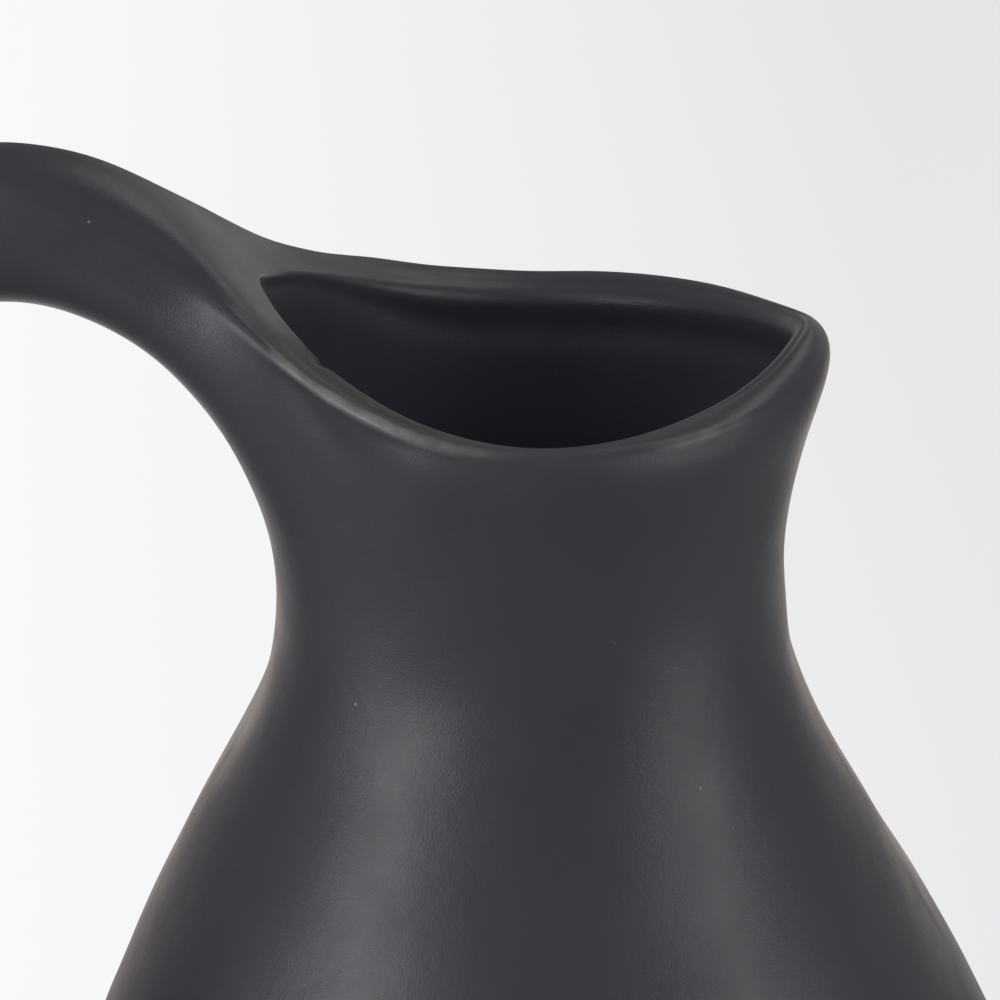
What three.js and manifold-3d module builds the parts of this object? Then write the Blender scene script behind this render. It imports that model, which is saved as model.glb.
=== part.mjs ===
// Ceramic jug: one slip-cast shell with a saddle-shaped mouth and a pouring lip, a hollow loop handle
// luted on at two joints, and four felt pads under its foot ring. Millimetres, +Z up, spout toward +X.
import * as THREE from 'three';
import { mergeVertices } from 'three/addons/utils/BufferGeometryUtils.js';
import Module from 'manifold-3d';

const wasm = await Module();
wasm.setup();

// Clearance between pieces that meet along a curved face
const JOINT_GAP = 0.3;

// Felt pads, a little narrower than the flat of the foot ring that they are stuck to
const PAD_MARGIN = 0.3;
const PAD_THICKNESS = 1.5;
const PAD_COUNT = 4;
const PAD_SIDES = 24;

// Foot ring and base, heights measured from the unglazed foot
const FOOT_RADIUS = 58;
const FOOT_LAND = 13;
const FOOT_RECESS = 4;
const FOOT_BEVEL = 2.5;
const FOOT_FLARE = 1.6;
const FLOOR_THICKNESS = 8;
const FLOOR_FILLET = 14;
const WALL = 6.5;

// Outline of the shell, each height above the foot with the outside radius there
const HEEL_HEIGHT = 26;
const HEEL_RADIUS = 82;
const HEEL_FLARE = 0.53;
const BELLY_HEIGHT = 78;
const BELLY_RADIUS = 99.5;
const SHOULDER_HEIGHT = 164;
const SHOULDER_RADIUS = 71;
const SHOULDER_TAPER = 0.52;
const NECK_HEIGHT = 226;
const NECK_RADIUS = 47.6;

// The belly is fuller below the spout, so its centre lies forward of the neck's axis
const BELLY_FORWARD = 5;

// The neck is narrowest a little higher below the spout than below the handle
const NECK_TILT = 6;

// Mouth: an oval drawn to a point at both ends, its widest place a little forward of the neck's axis.
// The lengths run from that place to the inside face of the lip. A pointedness of 1 is an ellipse.
const MOUTH_FORWARD = 2;
const MOUTH_TO_SPOUT = 44.6;
const MOUTH_TO_HANDLE = 50.6;
const MOUTH_HALF_WIDTH = 42.5;
const SPOUT_POINTEDNESS = 1.5;
const BACK_POINTEDNESS = 1.32;
const LIP_THICKNESS = 9.4;
const LIP_ROUNDING = 3;
const LIP_FLARE = 0.28;

// Height of the lip at its low sides, and what it gains toward each end
const LIP_HEIGHT = 269.5;
const LIP_RISE_AT_HANDLE = 15.5;
const LIP_RISE_AT_SPOUT = 5.5;
const SPOUT_TIP_RISE = 1.5;
const SPOUT_TIP_SHARPNESS = 12;

// Outside of the lip lifts at the back, where it runs into the top of the handle. The start is the
// cosine of the angle off the handle where the lift begins.
const HANDLE_RAMP = 6.5;
const HANDLE_RAMP_START = 0.68;

// Handle: centre line of the loop, from the neck's back and from the lip
const HANDLE_CREST_RISE = 26.5;
const HANDLE_CREST_REACH = 55;
const HANDLE_REACH = 94;
const HANDLE_WIDEST_DROP = 27;
const HANDLE_ROOT_DROP = 44;
const HANDLE_ROOT_INSET = 12;
const HANDLE_LANDING_HEIGHT = 97;
const HANDLE_LANDING_INSET = 8;

// How full the three bends of the loop are, each a share of that bend's height or reach
const ROOT_LEAN = 0.15;
const ROOT_STRAIGHTNESS = 0.7;
const CREST_FRONT_FULLNESS = 0.39;
const CREST_BACK_FULLNESS = 0.6;
const SHOULDER_FULLNESS = 0.5;
const GRIP_STRAIGHTNESS = 0.33;
const LANDING_FULLNESS = 0.8;
const LANDING_LIFT = 0.12;

// Handle section at places along the loop: share of the length, half depth in the plane of the loop
// and half width across it
const ROOT = { share: 0, depth: 12.5, width: 23 };
const NECKING = { share: 0.16, depth: 13.4, width: 17 };
const CREST = { share: 0.32, depth: 15.1, width: 15.5 };
const GRIP_TOP = { share: 0.6, depth: 14, width: 14.5 };
const GRIP_END = { share: 0.86, depth: 14, width: 14.5 };
const LANDING = { share: 1, depth: 19, width: 20 };
const HANDLE_WALL = 5.5;

// Fineness of the faceted surfaces
const SHELL_COLUMNS = 60;
const LIP_STEPS = 5;
const FILLET_STEPS = 4;
const HANDLE_RINGS = 40;
const HANDLE_SIDES = 28;
const CORE_SIDES = 16;

const { lerp, smoothstep } = THREE.MathUtils;
const up = PAD_THICKNESS;

// Materials

function glaze() {
  return new THREE.MeshStandardMaterial({ color: 0x38393d, roughness: 0.42, metalness: 0 });
}

function felt() {
  return new THREE.MeshStandardMaterial({ color: 0x4a4643, roughness: 0.95, metalness: 0 });
}

// Value at t of the cubic that leaves a with slope slopeA and reaches b with slope slopeB, span long
function hermite(a, slopeA, b, slopeB, span, t) {
  const t2 = t * t;
  const t3 = t2 * t;
  return a * (2 * t3 - 3 * t2 + 1) + slopeA * span * (t3 - 2 * t2 + t)
    + b * (3 * t2 - 2 * t3) + slopeB * span * (t3 - t2);
}

// Outside radius of the thrown form at a height, before the mouth is drawn out of round
const lipRadius = MOUTH_HALF_WIDTH + LIP_THICKNESS;
const OUTLINE = [
  { height: FOOT_BEVEL, radius: FOOT_RADIUS, slope: FOOT_FLARE },
  { height: HEEL_HEIGHT, radius: HEEL_RADIUS, slope: HEEL_FLARE },
  { height: BELLY_HEIGHT, radius: BELLY_RADIUS, slope: 0 },
  { height: SHOULDER_HEIGHT, radius: SHOULDER_RADIUS, slope: -SHOULDER_TAPER },
  { height: NECK_HEIGHT, radius: NECK_RADIUS, slope: 0 },
  { height: LIP_HEIGHT, radius: lipRadius, slope: LIP_FLARE },
];

function outsideRadius(height) {
  const last = OUTLINE.length - 2;
  const i = Math.min(last, Math.max(0, OUTLINE.findIndex((knot) => knot.height > height) - 1));
  const [from, to] = height >= LIP_HEIGHT ? OUTLINE.slice(-2) : [OUTLINE[i], OUTLINE[i + 1]];
  const span = to.height - from.height;
  return hermite(from.radius, from.slope, to.radius, to.slope, span, (height - from.height) / span);
}

// How far the shell's axis lies forward at a height
function forward(height) {
  return BELLY_FORWARD * (1 - smoothstep(height, BELLY_HEIGHT, (SHOULDER_HEIGHT + NECK_HEIGHT) / 2));
}

// Mouth outline: the inside edge of the lip seen from above, and its outward normal
function mouthPoint(angle) {
  const c = Math.cos(angle);
  const s = Math.sin(angle);
  const [reach, point] = c < 0 ? [MOUTH_TO_HANDLE, BACK_POINTEDNESS] : [MOUTH_TO_SPOUT, SPOUT_POINTEDNESS];
  return new THREE.Vector2(MOUTH_FORWARD + reach * c, MOUTH_HALF_WIDTH * Math.sign(s) * Math.abs(s) ** point);
}

function mouthNormal(angle) {
  const step = 0.12;
  const along = mouthPoint(angle + step).sub(mouthPoint(angle - step)).normalize();
  return new THREE.Vector2(along.y, -along.x);
}

// How much higher the lip is at an angle round the mouth than at its low sides
function lipRise(angle) {
  const c = Math.cos(angle);
  if (c < 0) return LIP_RISE_AT_HANDLE * c * c;
  return LIP_RISE_AT_SPOUT * c * c + SPOUT_TIP_RISE * c ** SPOUT_TIP_SHARPNESS;
}

// Puts one point of the thrown profile, at an angle round the axis, where the drawn-out shell has it.
// across runs from 0 on the inside face to 1 on the outside face.
function drawnOut(radius, height, across, angle) {
  const c = Math.cos(angle);
  const s = Math.sin(angle);
  const tilt = NECK_TILT * c * smoothstep(height, SHOULDER_HEIGHT, NECK_HEIGHT)
    * (1 - smoothstep(height, NECK_HEIGHT, LIP_HEIGHT));
  const pull = smoothstep(height, NECK_HEIGHT, LIP_HEIGHT);
  const lip = mouthPoint(angle).addScaledVector(mouthNormal(angle), across * LIP_THICKNESS);
  const round = MOUTH_HALF_WIDTH + across * LIP_THICKNESS;
  const ramp = HANDLE_RAMP * across * smoothstep(-c, HANDLE_RAMP_START, 1);
  return new THREE.Vector3(
    radius * c + forward(height) + pull * (lip.x - round * c),
    radius * s + pull * (lip.y - round * s),
    up + height + tilt + pull * (lipRise(angle) + ramp),
  );
}

// Closed geometry to and from manifold-3d, which only joins and cuts

function solidOf(geometry) {
  const bare = geometry.clone();
  bare.deleteAttribute('normal');
  bare.deleteAttribute('uv');
  const merged = mergeVertices(bare, 1e-4);
  const mesh = new wasm.Mesh({
    numProp: 3,
    vertProperties: new Float32Array(merged.attributes.position.array),
    triVerts: new Uint32Array(merged.index.array),
  });
  return new wasm.Manifold(mesh);
}

function geometryOf(solid) {
  const mesh = solid.getMesh();
  const geometry = new THREE.BufferGeometry();
  geometry.setAttribute('position', new THREE.BufferAttribute(new Float32Array(mesh.vertProperties), 3));
  geometry.setIndex(new THREE.BufferAttribute(new Uint32Array(mesh.triVerts), 1));
  geometry.computeVertexNormals();
  return geometry;
}

// Turns a closed profile round the axis, then draws each of its points out to its real place
function shellGeometry(profile) {
  const points = profile.map((p) => new THREE.Vector2(p.radius, p.height));
  const geometry = new THREE.LatheGeometry(points, SHELL_COLUMNS);
  const position = geometry.attributes.position;
  for (let column = 0; column <= SHELL_COLUMNS; column += 1) {
    const angle = 2 * Math.PI * (column % SHELL_COLUMNS) / SHELL_COLUMNS;
    profile.forEach((p, row) => {
      const onAxis = new THREE.Vector3(forward(p.height), 0, up + p.height);
      const place = p.radius === 0 ? onAxis : drawnOut(p.radius, p.height, p.across, angle);
      position.setXYZ(column * profile.length + row, place.x, place.y, place.z);
    });
  }
  return geometry;
}

// Evenly spaced heights from one to the other, both included
function heights(from, to, count) {
  return Array.from({ length: count }, (unused, i) => lerp(from, to, i / (count - 1)));
}

const outsideHeights = [
  ...heights(FOOT_BEVEL, HEEL_HEIGHT, 4),
  ...heights(HEEL_HEIGHT, SHOULDER_HEIGHT, 12).slice(1),
  ...heights(SHOULDER_HEIGHT, NECK_HEIGHT, 8).slice(1),
  ...heights(NECK_HEIGHT, LIP_HEIGHT - LIP_ROUNDING, 7).slice(1),
];

// Body

// Underside of the jug from the axis outward: the glaze-free recess, its rim and the foot's flat
function baseProfile() {
  const recessRadius = FOOT_RADIUS - FOOT_LAND;
  return [
    { radius: 0, height: FOOT_RECESS, across: 0 },
    { radius: recessRadius - FOOT_RECESS, height: FOOT_RECESS, across: 0 },
    { radius: recessRadius, height: 0, across: 0 },
    { radius: FOOT_RADIUS - FOOT_BEVEL, height: 0, across: 0 },
  ];
}

// Rounded top of the lip, from its outside face over to its inside face
function lipProfile() {
  return heights(0, Math.PI, LIP_STEPS + 2).slice(1, -1).map((turn) => {
    const across = (1 + Math.cos(turn)) / 2;
    const drop = LIP_ROUNDING * (1 - Math.sin(turn));
    return { radius: MOUTH_HALF_WIDTH + across * LIP_THICKNESS, height: LIP_HEIGHT - drop, across };
  });
}

// Inside face from the lip down, then the fillet and the floor in to the axis
function insideProfile() {
  const floor = FOOT_RECESS + FLOOR_THICKNESS;
  const wall = outsideHeights.filter((height) => height > floor + FLOOR_FILLET).reverse().map((height) => {
    const thickness = lerp(WALL, LIP_THICKNESS, smoothstep(height, NECK_HEIGHT, LIP_HEIGHT));
    return { radius: outsideRadius(height) - thickness, height, across: 0 };
  });
  const centre = outsideRadius(floor + FLOOR_FILLET) - WALL - FLOOR_FILLET;
  const fillet = heights(0, Math.PI / 2, FILLET_STEPS).map((turn) => {
    return {
      radius: centre + FLOOR_FILLET * Math.cos(turn),
      height: floor + FLOOR_FILLET * (1 - Math.sin(turn)),
      across: 0,
    };
  });
  return [...wall, ...fillet, { radius: 0, height: floor, across: 0 }];
}

function bodyGeometry() {
  const outside = outsideHeights.map((height) => ({ radius: outsideRadius(height), height, across: 1 }));
  const profile = [...baseProfile(), ...outside, ...lipProfile(), ...insideProfile()];
  return geometryOf(solidOf(shellGeometry(profile)));
}

// The space that the shell takes up, grown by the joint's gap and run on upward past the lip, which is
// what the two ends of the handle are shaped to fit.
function bodyEnvelope() {
  const walls = outsideHeights.map((height) => {
    return { radius: outsideRadius(height) + JOINT_GAP, height, across: 1 };
  });
  const above = LIP_HEIGHT + HANDLE_CREST_RISE;
  const geometry = shellGeometry([
    { radius: 0, height: FOOT_BEVEL, across: 1 },
    ...walls,
    { radius: lipRadius + JOINT_GAP, height: LIP_HEIGHT, across: 1 },
    { radius: lipRadius + JOINT_GAP, height: above, across: 1 },
    { radius: 0, height: above, across: 1 },
  ]);
  return solidOf(geometry);
}

// Handle

// Centre line of the loop in the plane y = 0: out of the neck's back, over the crest, down to the belly
function handlePath() {
  const rimHeight = up + LIP_HEIGHT;
  const at = (x, z) => new THREE.Vector3(x, 0, z);
  const root = at(-NECK_RADIUS + HANDLE_ROOT_INSET, rimHeight - HANDLE_ROOT_DROP);
  const crest = at(-NECK_RADIUS - HANDLE_CREST_REACH, rimHeight + HANDLE_CREST_RISE);
  const widest = at(-NECK_RADIUS - HANDLE_REACH, rimHeight - HANDLE_WIDEST_DROP);
  const landingRadius = outsideRadius(HANDLE_LANDING_HEIGHT) - HANDLE_LANDING_INSET;
  const landing = at(forward(HANDLE_LANDING_HEIGHT) - landingRadius, up + HANDLE_LANDING_HEIGHT);
  const rise = crest.z - root.z;
  const fall = widest.z - landing.z;
  const path = new THREE.CurvePath();
  path.add(new THREE.CubicBezierCurve3(
    root,
    at(root.x - ROOT_LEAN * rise, root.z + ROOT_STRAIGHTNESS * rise),
    at(crest.x + CREST_FRONT_FULLNESS * rise, crest.z),
    crest,
  ));
  path.add(new THREE.CubicBezierCurve3(
    crest,
    at(lerp(crest.x, widest.x, CREST_BACK_FULLNESS), crest.z),
    at(widest.x, lerp(widest.z, crest.z, SHOULDER_FULLNESS)),
    widest,
  ));
  path.add(new THREE.CubicBezierCurve3(
    widest,
    at(widest.x, widest.z - GRIP_STRAIGHTNESS * fall),
    at(lerp(landing.x, widest.x, LANDING_FULLNESS), landing.z + LANDING_LIFT * fall),
    landing,
  ));
  return path;
}

// Half depth and half width of the handle at a share of its length
function handleSection(share) {
  const stations = [ROOT, NECKING, CREST, GRIP_TOP, GRIP_END, LANDING];
  const i = Math.max(0, stations.findIndex((station) => station.share >= share) - 1);
  const [from, to] = [stations[i], stations[i + 1]];
  const blend = smoothstep(share, from.share, to.share);
  return { depth: lerp(from.depth, to.depth, blend), width: lerp(from.width, to.width, blend) };
}

// A closed tube along the handle's centre line, its section drawn in by inset all round
function handleTube(sides, inset) {
  const path = handlePath();
  const vertices = [];
  const index = [];
  for (let ring = 0; ring <= HANDLE_RINGS; ring += 1) {
    const share = ring / HANDLE_RINGS;
    const centre = path.getPointAt(share);
    const along = path.getTangentAt(share);
    const outward = new THREE.Vector3(-along.z, 0, along.x);
    const { depth, width } = handleSection(share);
    for (let side = 0; side < sides; side += 1) {
      const turn = 2 * Math.PI * side / sides;
      const point = centre.clone().addScaledVector(outward, (depth - inset) * Math.cos(turn));
      point.y += (width - inset) * Math.sin(turn);
      vertices.push(point.x, point.y, point.z);
    }
  }
  const id = (ring, side) => ring * sides + (side % sides);
  for (let ring = 0; ring < HANDLE_RINGS; ring += 1) {
    for (let side = 0; side < sides; side += 1) {
      const [a, b] = [id(ring, side), id(ring, side + 1)];
      const [c, d] = [id(ring + 1, side + 1), id(ring + 1, side)];
      index.push(a, c, b, a, d, c);
    }
  }
  for (const [ring, flip] of [[0, false], [HANDLE_RINGS, true]]) {
    for (let side = 1; side < sides - 1; side += 1) {
      const fan = [id(ring, 0), id(ring, side), id(ring, side + 1)];
      index.push(...(flip ? fan.reverse() : fan));
    }
  }
  const geometry = new THREE.BufferGeometry();
  geometry.setAttribute('position', new THREE.Float32BufferAttribute(vertices, 3));
  geometry.setIndex(index);
  return solidOf(geometry);
}

function handleGeometry() {
  const shell = handleTube(HANDLE_SIDES, 0).subtract(handleTube(CORE_SIDES, HANDLE_WALL));
  return geometryOf(shell.subtract(bodyEnvelope()));
}

// Felt pads

function addPads(jug) {
  const circle = FOOT_RADIUS - (FOOT_LAND + FOOT_BEVEL) / 2;
  const radius = (FOOT_LAND - FOOT_BEVEL) / 2 - PAD_MARGIN;
  const geometry = new THREE.CylinderGeometry(radius, radius, PAD_THICKNESS, PAD_SIDES).rotateX(Math.PI / 2);
  for (let i = 0; i < PAD_COUNT; i += 1) {
    const angle = Math.PI * (2 * i + 1) / PAD_COUNT;
    const pad = new THREE.Mesh(geometry, felt());
    pad.name = `foot_pad_${i + 1}`;
    pad.position.set(BELLY_FORWARD + circle * Math.cos(angle), circle * Math.sin(angle), PAD_THICKNESS / 2);
    jug.add(pad);
  }
}

// Assembly, moved so that the middle of its box stands over the origin

const jug = new THREE.Group();

const body = new THREE.Mesh(bodyGeometry(), glaze());
body.name = 'body';
jug.add(body);

const handle = new THREE.Mesh(handleGeometry(), glaze());
handle.name = 'handle';
jug.add(handle);

addPads(jug);

const middle = new THREE.Box3().setFromObject(jug).getCenter(new THREE.Vector3());
jug.position.set(-middle.x, -middle.y, 0);

const group = new THREE.Group();
group.add(jug);

export default group;
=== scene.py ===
# %% [markdown]
# # A ceramic jug, step by step
# The jug is one slip-cast shell of stoneware with a thick loop handle luted onto it, all under a satin
# charcoal glaze, and it stands on four felt pads. A fixed frame with the jug's real sizes is loaded
# first, and everything here is dressed onto that frame, in metres, with +Z up and the spout toward +X.

# %% Load the frame
import math

import bpy
import numpy as np
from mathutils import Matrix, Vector


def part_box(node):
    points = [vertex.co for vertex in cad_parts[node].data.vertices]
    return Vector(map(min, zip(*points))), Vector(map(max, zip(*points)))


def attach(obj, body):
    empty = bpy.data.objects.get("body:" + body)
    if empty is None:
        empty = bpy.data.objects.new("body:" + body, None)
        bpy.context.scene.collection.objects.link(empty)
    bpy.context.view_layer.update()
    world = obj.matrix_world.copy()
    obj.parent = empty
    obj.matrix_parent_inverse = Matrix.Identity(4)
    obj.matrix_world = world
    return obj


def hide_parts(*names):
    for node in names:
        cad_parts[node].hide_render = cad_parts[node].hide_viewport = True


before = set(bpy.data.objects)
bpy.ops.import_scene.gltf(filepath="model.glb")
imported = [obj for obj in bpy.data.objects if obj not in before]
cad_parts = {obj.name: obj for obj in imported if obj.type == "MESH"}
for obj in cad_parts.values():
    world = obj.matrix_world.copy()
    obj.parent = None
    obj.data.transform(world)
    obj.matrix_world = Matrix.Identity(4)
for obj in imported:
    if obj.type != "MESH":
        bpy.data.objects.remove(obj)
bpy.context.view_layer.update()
scene = bpy.context.scene
print("pieces in the frame:", ", ".join(sorted(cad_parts)))

# %% [markdown]
# ## Where the jug stands
# Ceramic forms are measured from their foot and from the axis of the wheel or the mould. The frame gives
# both: the pads carry the foot, and the shell's box gives the belly's middle, which lies a little forward
# of the neck's axis. Sizes below are in millimetres, as a maker would note them, and one function turns
# them into the frame's metres.

# %% Turn a maker's sizes into the frame's metres
MM = 0.001
BELLY_FORWARD = 5.0

shell_low, shell_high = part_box("body")
axis_x = (shell_low.x + shell_high.x) / 2 - BELLY_FORWARD * MM
foot_middle = np.array([axis_x, 0.0, shell_low.z])
BELLY_RADIUS = (shell_high.y - shell_low.y) / 2 / MM


def to_metres(points):
    """Points in mm from the neck's axis and the foot, as metres in the frame."""
    return np.asarray(points, float) * MM + foot_middle


def add_object(name, data):
    """A new object in the scene."""
    thing = bpy.data.objects.new(name, data)
    scene.collection.objects.link(thing)
    return thing


print("the neck's axis meets the foot at", foot_middle.round(5), "m")

# %% [markdown]
# ## Camera
# The picture is a close view of the jug's upper half, from a little above the rim and from a metre away.
# A long lens keeps the two sides of the mouth nearly the same size, as they are in the picture. The
# camera could be placed by eye, but a distance, an angle and a scale in pixels per millimetre say the
# same thing in three numbers that can be checked.

# %% Set the camera
VIEW_ELEVATION = math.radians(22.0)
VIEW_DISTANCE = 1.0
PIXELS_PER_MM = 5.3
IMAGE_SIZE = 1000
VIEW_CENTRE = (-6.2, 0.0, 240.35)
SENSOR_WIDTH = 36.0
NEAREST_SEEN = 0.01
FARTHEST_SEEN = 20.0

camera = add_object("camera", bpy.data.cameras.new("camera"))
scene.camera = camera
camera.data.sensor_width = SENSOR_WIDTH
camera.data.lens = SENSOR_WIDTH * PIXELS_PER_MM * (VIEW_DISTANCE / MM) / IMAGE_SIZE
camera.data.clip_start = NEAREST_SEEN
camera.data.clip_end = FARTHEST_SEEN
view_back = Vector((0.0, -math.cos(VIEW_ELEVATION), math.sin(VIEW_ELEVATION)))
camera.location = Vector(to_metres(VIEW_CENTRE)) + view_back * VIEW_DISTANCE
camera.rotation_euler = (-view_back).to_track_quat("-Z", "Y").to_euler()
print("lens:", round(camera.data.lens, 1), "mm")

# %% [markdown]
# ## The outline of the shell
# A potter draws a jug as one line from foot to lip. Here that line is a few heights with the outside
# radius and the slope at each, and a cubic curve between them, so the wall has no flats or kinks. The
# mouth isn't round: it is an oval drawn to a point at both ends, so above the neck each point is pulled
# from the round wall toward the mouth's own outline.

# %% Write the outline of the wall
FOOT_RADIUS = 58.0
FOOT_BEVEL = 2.5
BELLY_HEIGHT = 78.0
SHOULDER_HEIGHT = 164.0
NECK_HEIGHT = 226.0
NECK_RADIUS = 47.6
NECK_TILT = 6.0
TILT_START = 198.0
LIP_FACE_HEIGHT = 263.5
LIP_FACE_RADIUS = 52.2
# Height, radius, slope
OUTLINE = np.array(
    [
        (FOOT_BEVEL, FOOT_RADIUS, 1.6),
        (26.0, 82.0, 0.53),
        (BELLY_HEIGHT, BELLY_RADIUS, 0.0),
        (SHOULDER_HEIGHT, 71.3, -0.53),
        (NECK_HEIGHT, NECK_RADIUS, 0.0),
        (LIP_FACE_HEIGHT, LIP_FACE_RADIUS, 0.2),
    ]
)


def smoothstep(value, low, high):
    """0 below low, 1 above high and a smooth change between."""
    t = np.clip((np.asarray(value, float) - low) / (high - low), 0.0, 1.0)
    return t * t * (3.0 - 2.0 * t)


def outside_radius(height):
    """Outside radius of the round wall at a height."""
    height = np.asarray(height, float)
    index = np.clip(np.searchsorted(OUTLINE[:, 0], height, side="right") - 1, 0, len(OUTLINE) - 2)
    start = OUTLINE[index]
    end = OUTLINE[index + 1]
    span = end[..., 0] - start[..., 0]
    t = (height - start[..., 0]) / span
    return (
        start[..., 1] * (2 * t**3 - 3 * t**2 + 1)
        + start[..., 2] * span * (t**3 - 2 * t**2 + t)
        + end[..., 1] * (3 * t**2 - 2 * t**3)
        + end[..., 2] * span * (t**3 - t**2)
    )


def forward(height):
    """How far the wall's axis lies forward of the neck's axis at a height."""
    return BELLY_FORWARD * (1.0 - smoothstep(height, BELLY_HEIGHT, (SHOULDER_HEIGHT + NECK_HEIGHT) / 2))


print("widest across the belly:", round(2 * BELLY_RADIUS, 1), "mm")

# %% [markdown]
# ## The mouth's two lines
# Two lines make the mouth: the inner edge, where the lip turns down into the jug, and the soft ridge
# along its outside. Each is an oval with its own length toward the spout and toward the handle, and a
# pointedness, where 1 is a plain ellipse. Both rise toward the handle and a little toward the spout,
# which is what gives the rim its saddle shape.

# %% Write the mouth's two lines
INNER_EDGE = {
    "middle": 0.7,
    "to_handle": 51.9,
    "to_spout": 48.9,
    "half_width": 42.2,
    "point_at_handle": 1.4,
    "point_at_spout": 1.45,
    "height": 267.2,
    "rise_at_handle": 17.8,
    "rise_at_spout": 7.3,
    "tip_rise": 0.6,
}
OUTER_RIDGE = {
    "middle": 1.35,
    "to_handle": 57.9,
    "to_spout": 51.9,
    "half_width": 50.3,
    "point_at_handle": 1.03,
    "point_at_spout": 1.19,
    "height": 269.1,
    "rise_at_handle": 16.8,
    "rise_at_spout": 3.0,
    "tip_rise": 3.4,
}
TIP_SHARPNESS = 10


def mouth_line(line, angle):
    """Points of one of the mouth's lines at angles round it, 0 at the spout and half a turn at the handle."""
    c = np.cos(angle)
    s = np.sin(angle)
    reach = np.where(c < 0, line["to_handle"], line["to_spout"])
    point = np.where(c < 0, line["point_at_handle"], line["point_at_spout"])
    rise_at_spout = line["rise_at_spout"] * c**2 + line["tip_rise"] * np.clip(c, 0, 1) ** TIP_SHARPNESS
    rise = np.where(c < 0, line["rise_at_handle"] * c**2, rise_at_spout)
    x = line["middle"] + reach * c
    y = line["half_width"] * np.sign(s) * np.abs(s) ** point
    return np.stack([x, y, line["height"] + rise], axis=-1)


def outward(line, angle, step=0.12):
    """Level direction that points away from the mouth's line."""
    along = mouth_line(line, angle + step) - mouth_line(line, angle - step)
    normal = np.stack([along[..., 1], -along[..., 0], np.zeros_like(along[..., 0])], axis=-1)
    return normal / np.linalg.norm(normal, axis=-1, keepdims=True)


def wall_point(height, angle, line, clearance, depth=0.0):
    """A point of the wall, depth inside its outside face, pulled toward one of the mouth's lines."""
    c = np.cos(angle)
    s = np.sin(angle)
    radius = outside_radius(height) - depth
    pull = smoothstep(height, NECK_HEIGHT, LIP_FACE_HEIGHT)
    tilt = NECK_TILT * c * smoothstep(height, TILT_START, NECK_HEIGHT) * (1.0 - pull)
    round_radius = line["half_width"] + clearance
    target = mouth_line(line, angle) + clearance * outward(line, angle)
    rise = target[..., 2] - line["height"]
    x = radius * c + forward(height) + pull * (target[..., 0] - round_radius * c)
    y = radius * s + pull * (target[..., 1] - round_radius * s)
    return np.stack([x, y, height + tilt + pull * rise], axis=-1)


print("mouth:", INNER_EDGE["to_handle"] + INNER_EDGE["to_spout"], "by", 2 * INNER_EDGE["half_width"], "mm")

# %% [markdown]
# ## A cage for the shell
# The whole jug is one skin: foot, wall, lip and inside are a ladder of rings, and the handle leaves it
# through a window under the back of the lip and comes home through a window in the belly. Sculpting
# could do this, and so could joining a lathed body to a swept tube, but a join has a seam where the clay
# has none. So a coarse cage of four-sided faces is laid out and subdivided. Faces flow from the lip's
# ridge straight onto the handle, which is how the real rim runs on along the handle's sides.

# %% Lay out the rings of the foot and the wall
COLUMNS = 32
BACK = COLUMNS // 2
FOOT_LAND = 13.0
FOOT_RECESS = 4.0
LANDING_HEIGHT = 97.0
LANDING_HALF_HEIGHT = 19.0
LANDING_ROWS = 7
ROOT_ROWS = 3
ROOT_HALF_COLUMNS = 3
LIP_OVERHANG = 1.8

recess_radius = FOOT_RADIUS - FOOT_LAND
# Radius and height, from the middle of the recess to the outside of the foot
FOOT_RINGS = [
    (14.0, FOOT_RECESS),
    (29.0, FOOT_RECESS),
    (recess_radius - 5.5, FOOT_RECESS),
    (recess_radius - 2.6, FOOT_RECESS * 0.8),
    (recess_radius - 0.8, FOOT_RECESS * 0.2),
    (recess_radius + 0.8, 0.0),
    (recess_radius + 5.0, 0.0),
    (FOOT_RADIUS - 3.6, 0.0),
    (FOOT_RADIUS - 1.2, 0.6),
]
LOWER_HEIGHTS = [FOOT_BEVEL, 7.0, 13.0, 19.5, 27.0, 37.0, 48.0, 59.0, 69.0]
UPPER_HEIGHTS = [126.0, 138.0, 151.0, 164.0, 177.0, 190.0, 203.0, 215.0, 226.0, 239.0, 252.0]
landing_ends = (LANDING_HEIGHT - LANDING_HALF_HEIGHT, LANDING_HEIGHT + LANDING_HALF_HEIGHT)
landing_heights = np.linspace(*landing_ends, LANDING_ROWS + 1)
angles = 2.0 * np.pi * np.arange(COLUMNS) / COLUMNS


def level_ring(radius, height):
    """A round level ring about the belly's middle."""
    x = radius * np.cos(angles) + BELLY_FORWARD
    return np.stack([x, radius * np.sin(angles), np.full(COLUMNS, float(height))], axis=-1)


rings = [level_ring(*place) for place in FOOT_RINGS]
for height in [*LOWER_HEIGHTS, *landing_heights, *UPPER_HEIGHTS, LIP_FACE_HEIGHT]:
    rings.append(wall_point(height, angles, OUTER_RIDGE, LIP_OVERHANG))
landing_low = len(FOOT_RINGS) + len(LOWER_HEIGHTS)
ridge_ring = len(rings)
root_low = ridge_ring - ROOT_ROWS
print("rings up to the lip:", ridge_ring)

# %% Lay out the rings of the lip and the inside
UPWARD = np.array([0.0, 0.0, 1.0])
# The lip is flat and crisp at the handle and on the near side toward it, and a soft roll round the rest
SOFT_TOWARD_FAR_SIDE = 0.9
SOFTENS = (-0.5, 0.6)
ROLL_DROP = 0.35
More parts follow.
